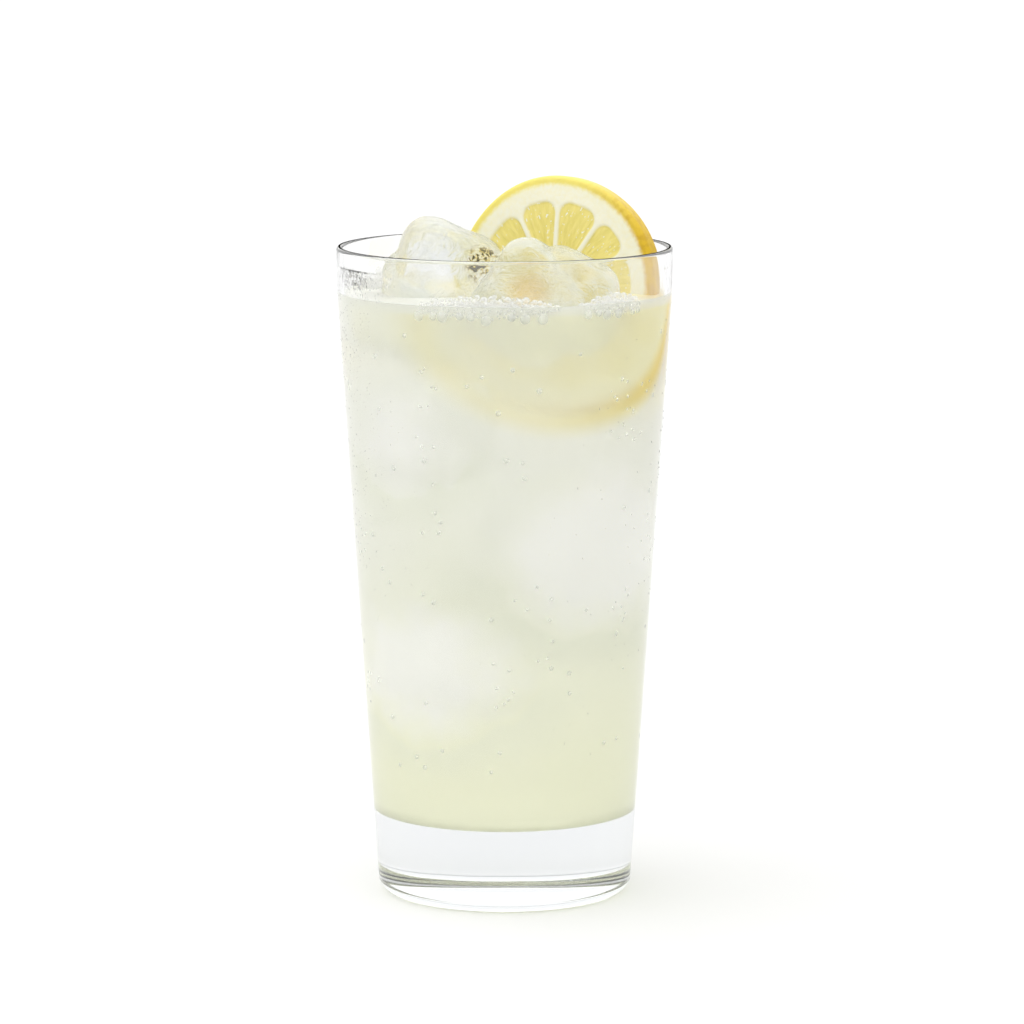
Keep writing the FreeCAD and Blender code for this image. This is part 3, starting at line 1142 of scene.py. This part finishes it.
def cut_lemon():
    f = Finish("cut_lemon")
    flesh = f.attribute("flesh")
    from_middle = f.attribute("from_middle")
    across, up, through = f.parts(f.in_lemon())
    radius = f.length(across, up)
    way_x = across / radius
    way_y = up / radius
    along = radius * SACS_ALONG + through
    sacs = f.noise(1 / MM, 2.0, vector=f.vector(way_x * SACS_AROUND, way_y * SACS_AROUND, along))
    glints = f.noise(1 / MM, 1.0, vector=f.vector(way_x * 34, way_y * 34, radius * 1.1))
    grain = f.noise(0.9, 3.0)
    juice = f.colour(sacs.ramp(0.3, 0.72), JUICE, PALE_JUICE)
    juice = f.colour((radius / LEMON_RADIUS).ramp(0.35, 0.8) * 0.5, juice, OUTER_JUICE)
    # painted glints: white specks on the outer flesh stand in for highlights on the wet juice sacs
    wet = glints.ramp(0.66, 0.72) * (radius / LEMON_RADIUS).ramp(0.3, 0.6) * flesh
    juice = f.colour(wet, juice, WET_GLINT)
    pith = f.colour((grain - 0.5 + from_middle).ramp(0.6, 1.1), PITH, OUTER_PITH)
    # painted shade: the skin is paler towards the upper left of the slice and darker and deeper towards the lower
    # right, and its flecks grow towards that darker side
    shaded_side = (across + up * -0.4).ramp(-8.0, 22.0)
    skin = f.colour(shaded_side, LIT_SKIN, SHADED_SKIN)
    skin = f.colour(f.noise(1.6, 2.0).ramp(0.45, 0.65) * shaded_side * 0.6, skin, SKIN_FLECKS)
    body = f.colour(flesh, pith, juice)
    body = f.colour((from_middle + (grain - 0.5) * 0.03).ramp(0.895, 0.95), body, skin)
    height = f.noise(1.1, 1.0) * from_middle.ramp(0.93, 0.97) * 0.6 + sacs * flesh
    surface = f.node("ShaderNodeBsdfPrincipled", {}, {
        "Base Color": body, "Roughness": 0.45 - flesh * 0.25, "IOR": 1.4,
        "Normal": f.bump(height, 0.3, 0.7),
    })
    return f.output(surface, None, (0.55, 0.5, 0.3))


dress(cut_lemon(), lemon)

# %% [markdown]
# ## Floor, light and camera
# A pale floor and a white room all round. A broad lamp stands high up, a little to the left and behind, for
# the shadow, and a second one is as broad as the whole sky. What is seen in glass and ice is the same white
# room, but with a dimmer band just over the horizon, as in a studio whose walls are further away than its
# lamps.

# %% Floor
FLOOR_GLOW = 0.135
bm = bmesh.new()
bmesh.ops.create_grid(bm, x_segments=1, y_segments=1, size=12.0)
floor = new_piece("floor", bm, smooth=False)
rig.stage(floor)


def pale_floor():
    f = Finish("pale_floor")
    paint = f.node("ShaderNodeBsdfDiffuse", {}, {"Color": (0.81, 0.81, 0.81, 1)})
    glow = f.node("ShaderNodeEmission", {}, {"Color": (1, 1, 1, 1), "Strength": FLOOR_GLOW})
    return f.output(f.node("ShaderNodeAddShader", {}, {0: paint, 1: glow}))


dress(pale_floor(), floor)

# %% Room and lamps
BAND_DIMS = 0.30
ROOM = 0.38
world = bpy.data.worlds.new("white_room")
bpy.context.scene.world = world
world.use_nodes = True
room = Finish("white_room", world.node_tree)
path = room.tree.nodes.new("ShaderNodeLightPath")
camera_ray, glossy, refracted = (
    Wire(room, path.outputs[kind]) for kind in ("Is Camera Ray", "Is Glossy Ray", "Is Transmission Ray")
)
mirrored = room.calc("MAXIMUM", glossy, refracted)
_, towards_back, up = room.parts(room.node("ShaderNodeTexCoord", output="Generated"))
dimmer_band = up.ramp(0.02, 0.06) * (1 - up.ramp(0.22, 0.34))
plain_level = ROOM - towards_back * ROOM
seen_in_glass = 1.0 - dimmer_band * BAND_DIMS
level = plain_level + camera_ray * (1 - plain_level) + mirrored * (seen_in_glass - plain_level)
background = room.node("ShaderNodeBackground", {}, {"Color": (1, 1, 1, 1), "Strength": level})
world_out = room.tree.nodes.new("ShaderNodeOutputWorld")
room.tree.links.new(background.socket, world_out.inputs["Surface"])


def sun(name, strength, spread, towards):
    """A lamp so far away that it only has a direction; spread is how large it looks, in degrees."""
    data = bpy.data.lights.new(name, "SUN")
    data.energy = strength
    data.angle = math.radians(spread)
    lamp = bpy.data.objects.new(name, data)
    bpy.context.scene.collection.objects.link(lamp)
    lamp.rotation_euler = Vector(towards).to_track_quat("Z", "Y").to_euler()


sun("key_lamp", 1.2, 64, (-0.35, 0.2, 1.0))
sun("dome_lamp", 1.35, 170, (0, 0, 1))

# %% Camera
camera_data = bpy.data.cameras.new("camera")
camera_data.sensor_width = 36
camera_data.lens = 177.8
camera_data.shift_x = 0.0072
camera_data.shift_y = 0.0608
camera_data.clip_end = 30
camera = bpy.data.objects.new("camera", camera_data)
bpy.context.scene.collection.objects.link(camera)
look_down = math.radians(9.12)
distance = 1152.0
aim = Vector((0, 0, 73.0))
place = aim + Vector((0, -distance * math.cos(look_down), distance * math.sin(look_down)))
camera.location = place * MM
camera.rotation_euler = (math.radians(90) - look_down, 0, 0)
bpy.context.scene.camera = camera
bpy.context.scene.view_settings.view_transform = "Standard"

# %% Finish
with open("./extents.json", "w") as file:
    json.dump({"cad": [list(c) for c in cad_box], "visual": [list(c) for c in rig.bounds()]}, file)
print(open("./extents.json").read())
